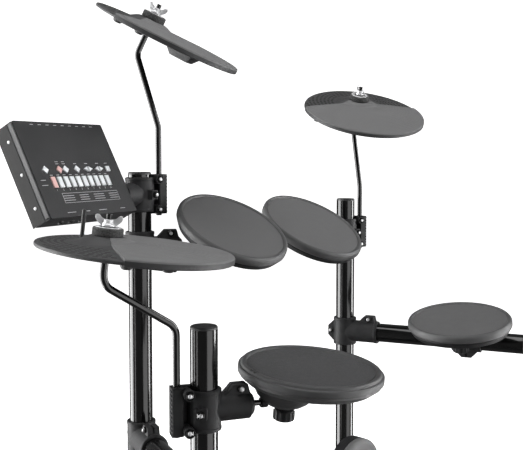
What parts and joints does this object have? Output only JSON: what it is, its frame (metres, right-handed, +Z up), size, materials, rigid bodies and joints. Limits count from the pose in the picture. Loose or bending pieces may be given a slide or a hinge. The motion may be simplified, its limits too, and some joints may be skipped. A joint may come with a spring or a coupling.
{
  "type": "electronic drum kit",
  "caption": "Rack-mounted electronic drum kit: rubber drum pads, cymbal pads on bent rods, a small sound module with keys, a kick pad with a beater pedal and a hi-hat pedal.",
  "frame": {"origin": "on the floor under the middle of the kit's bounding box", "axes": "+Z up, +Y away from the drummer, +X to the drummer's right"},
  "size_m": [1.0656, 0.705, 1.1557],
  "materials": {
    "black_tube": "gloss black powder coat",
    "rod_steel": "gloss black",
    "clamp_plastic": "matte charcoal moulding",
    "bolt_steel": "zinc plated",
    "foot_rubber": "matte black",
    "pad_rubber": "matte mid grey",
    "snare_rubber": "textured dark grey",
    "shell_plastic": "satin charcoal moulding",
    "knob_plastic": "ribbed black",
    "bow_plastic": "satin dark grey moulding",
    "skin_rubber": "matte grey",
    "felt": "dark grey felt",
    "nut_steel": "bright zinc",
    "module_plastic": "satin charcoal moulding",
    "board": "green circuit board",
    "key_white": "white keys",
    "pedal_steel": "satin black",
    "pedal_board": "cast, satin",
    "axle_steel": "plated steel",
    "beater_felt": "pale felt"
  },
  "bodies": {
    "rack": {"left_far_post": "black_tube", "right_far_post": "black_tube", "left_near_post": "black_tube", "right_near_post": "black_tube", "left_side_tube": "black_tube", "right_side_tube": "black_tube", "cross_tube": "black_tube", "post_caps": "clamp_plastic", "tee_clamps": "clamp_plastic", "post_clamps": "clamp_plastic", "clamp_bolts": "bolt_steel", "rubber_feet": "foot_rubber", "pad_rods": "rod_steel", "kick_stand": "pedal_steel", "kick_pad_shell": "shell_plastic", "kick_pad_rubber": "pad_rubber", "pedal_frame": "pedal_steel", "hihat_pedal_base": "pedal_steel"},
    "snare": {"snare_shell": "shell_plastic", "snare_rubber": "snare_rubber"},
    "snare_clamp_knob": {"snare_knob": "knob_plastic"},
    "tom_1": {"tom_1_shell": "shell_plastic", "tom_1_rubber": "pad_rubber"},
    "tom_1_clamp_knob": {"tom_1_knob": "knob_plastic"},
    "tom_2": {"tom_2_shell": "shell_plastic", "tom_2_rubber": "pad_rubber"},
    "tom_2_clamp_knob": {"tom_2_knob": "knob_plastic"},
    "floor_tom": {"floor_tom_shell": "shell_plastic", "floor_tom_rubber": "pad_rubber"},
    "floor_tom_clamp_knob": {"floor_tom_knob": "knob_plastic"},
    "crash_arm": {"crash_rod": "rod_steel"},
    "crash_pad": {"crash_bow": "bow_plastic", "crash_skin": "skin_rubber", "crash_felts": "felt"},
    "crash_nut": {"crash_wing_nut": "nut_steel"},
    "ride_arm": {"ride_rod": "rod_steel"},
    "ride_pad": {"ride_bow": "bow_plastic", "ride_skin": "skin_rubber", "ride_felts": "felt"},
    "ride_nut": {"ride_wing_nut": "nut_steel"},
    "hihat_arm": {"hihat_rod": "rod_steel"},
    "hihat_pad": {"hihat_bow": "bow_plastic", "hihat_skin": "skin_rubber", "hihat_felts": "felt"},
    "hihat_nut": {"hihat_wing_nut": "nut_steel"},
    "module": {"module_case": "module_plastic", "module_panel": "module_plastic", "module_board": "board"},
    "number_keys": {"number_keys": "key_white"},
    "menu_key": {"menu_key": "key_white"},
    "song_keys": {"song_keys": "key_white"},
    "click_key": {"click_key": "key_white"},
    "save_key": {"save_key": "key_white"},
    "tempo_rocker": {"tempo_rocker": "key_white"},
    "kit_rocker": {"kit_rocker": "key_white"},
    "pedal_board": {"pedal_footboard": "pedal_board"},
    "pedal_link": {"drive_link": "axle_steel"},
    "beater": {"beater_axle": "axle_steel", "beater_head": "beater_felt"},
    "hihat_board": {"hihat_footboard": "pedal_board"}
  },
  "joints": [
    {"name": "snare_tilt", "type": "hinge", "parent": "rack", "child": "snare", "pos_m": [-0.19742, -0.06449, 0.555], "axis": [0.8988, -0.4384, 0], "range_deg": [-6, 6]},
    {"name": "snare_knob_turn", "type": "hinge", "parent": "snare", "child": "snare_clamp_knob", "pos_m": [-0.19742, -0.06449, 0.555], "axis": [0.0216, -0.0934, 0.9954], "continuous": true},
    {"name": "tom_1_tilt", "type": "hinge", "parent": "rack", "child": "tom_1", "pos_m": [-0.10235, 0.18499, 0.746], "axis": [0.8192, -0.5736, 0], "range_deg": [-8, 8]},
    {"name": "tom_1_knob_turn", "type": "hinge", "parent": "tom_1", "child": "tom_1_clamp_knob", "pos_m": [-0.10235, 0.18499, 0.746], "axis": [0, -0.515, 0.8572], "continuous": true},
    {"name": "tom_2_tilt", "type": "hinge", "parent": "rack", "child": "tom_2", "pos_m": [0.15266, 0.18354, 0.737], "axis": [-0.9397, -0.342, 0], "range_deg": [-8, 8]},
    {"name": "tom_2_knob_turn", "type": "hinge", "parent": "tom_2", "child": "tom_2_clamp_knob", "pos_m": [0.15266, 0.18354, 0.737], "axis": [0, -0.515, 0.8572], "continuous": true},
    {"name": "floor_tom_tilt", "type": "hinge", "parent": "rack", "child": "floor_tom", "pos_m": [0.3618, -0.01535, 0.549], "axis": [-0.9336, -0.3584, 0], "range_deg": [-10, 10]},
    {"name": "floor_tom_knob_turn", "type": "hinge", "parent": "floor_tom", "child": "floor_tom_clamp_knob", "pos_m": [0.3618, -0.01535, 0.549], "axis": [-0.1705, -0.0331, 0.9848], "continuous": true},
    {"name": "crash_rod_swing", "type": "hinge", "parent": "rack", "child": "crash_arm", "pos_m": [-0.16402, 0.25137, 0.799], "axis": [0, 0, 1], "range_deg": [-12, 12]},
    {"name": "crash_rock", "type": "hinge", "parent": "crash_arm", "child": "crash_pad", "pos_m": [-0.16916, 0.26145, 1.11956], "axis": [0.891, 0.454, 0], "range_deg": [-4, 4], "stiffness_Nm_per_rad": 12},
    {"name": "crash_nut_turn", "type": "hinge", "parent": "crash_arm", "child": "crash_nut", "pos_m": [-0.16811, 0.25939, 1.124], "axis": [0.2096, -0.4114, 0.887], "continuous": true},
    {"name": "ride_rod_swing", "type": "hinge", "parent": "rack", "child": "ride_arm", "pos_m": [0.38483, 0.24485, 0.701], "axis": [0, 0, 1], "range_deg": [-12, 12]},
    {"name": "ride_rock", "type": "hinge", "parent": "ride_arm", "child": "ride_pad", "pos_m": [0.39036, 0.25444, 1.01345], "axis": [0.866, -0.5, 0], "range_deg": [-4, 4], "stiffness_Nm_per_rad": 12},
    {"name": "ride_nut_turn", "type": "hinge", "parent": "ride_arm", "child": "ride_nut", "pos_m": [0.38933, 0.25264, 1.018], "axis": [-0.2073, -0.3591, 0.91], "continuous": true},
    {"name": "hihat_rod_swing", "type": "hinge", "parent": "rack", "child": "hihat_arm", "pos_m": [-0.33728, 0.00668, 0.519], "axis": [0, 0, 1], "range_deg": [-12, 12]},
    {"name": "hihat_rock", "type": "hinge", "parent": "hihat_arm", "child": "hihat_pad", "pos_m": [-0.43117, 0.03092, 0.79203], "axis": [0.7254, 0.6884, 0], "range_deg": [-4, 4], "stiffness_Nm_per_rad": 12},
    {"name": "hihat_nut_turn", "type": "hinge", "parent": "hihat_arm", "child": "hihat_nut", "pos_m": [-0.43079, 0.03051, 0.797], "axis": [0.0767, -0.0809, 0.9938], "continuous": true},
    {"name": "module_tilt", "type": "hinge", "parent": "rack", "child": "module", "pos_m": [-0.25098, 0.24088, 0.835], "axis": [0.9627, 0.2706, 0], "range_deg": [-15, 15]},
    {"name": "number_keys_press", "type": "slide", "parent": "module", "child": "number_keys", "axis": [-0.2402, 0.8547, -0.4602], "range_m": [0, 0.0012], "stiffness_N_per_m": 400},
    {"name": "menu_key_press", "type": "slide", "parent": "module", "child": "menu_key", "axis": [-0.2402, 0.8547, -0.4602], "range_m": [0, 0.0012], "stiffness_N_per_m": 400},
    {"name": "song_keys_press", "type": "slide", "parent": "module", "child": "song_keys", "axis": [-0.2402, 0.8547, -0.4602], "range_m": [0, 0.0012], "stiffness_N_per_m": 400},
    {"name": "click_key_press", "type": "slide", "parent": "module", "child": "click_key", "axis": [-0.2402, 0.8547, -0.4602], "range_m": [0, 0.0012], "stiffness_N_per_m": 400},
    {"name": "save_key_press", "type": "slide", "parent": "module", "child": "save_key", "axis": [-0.2402, 0.8547, -0.4602], "range_m": [0, 0.0012], "stiffness_N_per_m": 400},
    {"name": "tempo_rocker_rock", "type": "hinge", "parent": "module", "child": "tempo_rocker", "pos_m": [-0.32602, 0.22355, 0.87784], "axis": [-0.1245, 0.443, 0.8878], "range_deg": [-5, 5], "stiffness_Nm_per_rad": 0.2},
    {"name": "kit_rocker_rock", "type": "hinge", "parent": "module", "child": "kit_rocker", "pos_m": [-0.30136, 0.23048, 0.87784], "axis": [-0.1245, 0.443, 0.8878], "range_deg": [-5, 5], "stiffness_Nm_per_rad": 0.2},
    {"name": "pedal_press", "type": "hinge", "parent": "rack", "child": "pedal_board", "pos_m": [0.07312, -0.17388, 0.022], "axis": [1, 0, 0], "range_deg": [-8.12, 0], "stiffness_Nm_per_rad": 6, "springref_deg": 34.38},
    {"name": "beater_swing", "type": "hinge", "parent": "rack", "child": "beater", "pos_m": [0.07312, -0.01432, 0.142], "axis": [1, 0, 0], "range_deg": [-38, 0]},
    {"name": "link_turn", "type": "hinge", "parent": "pedal_board", "child": "pedal_link", "pos_m": [0.07312, 0.02823, 0.09665], "axis": [1, 0, 0], "range_deg": [0, 16.25]},
    {"name": "hihat_pedal_press", "type": "hinge", "parent": "rack", "child": "hihat_board", "pos_m": [-0.13188, -0.32651, 0.022], "axis": [1, 0, 0], "range_deg": [-8, 0], "stiffness_Nm_per_rad": 6, "springref_deg": 34.38}
  ],
  "couplings": [
    {"joint": "beater_swing", "follows": "pedal_press", "ratio": 4.6769},
    {"joint": "link_turn", "follows": "pedal_press", "ratio": -2}
  ]
}
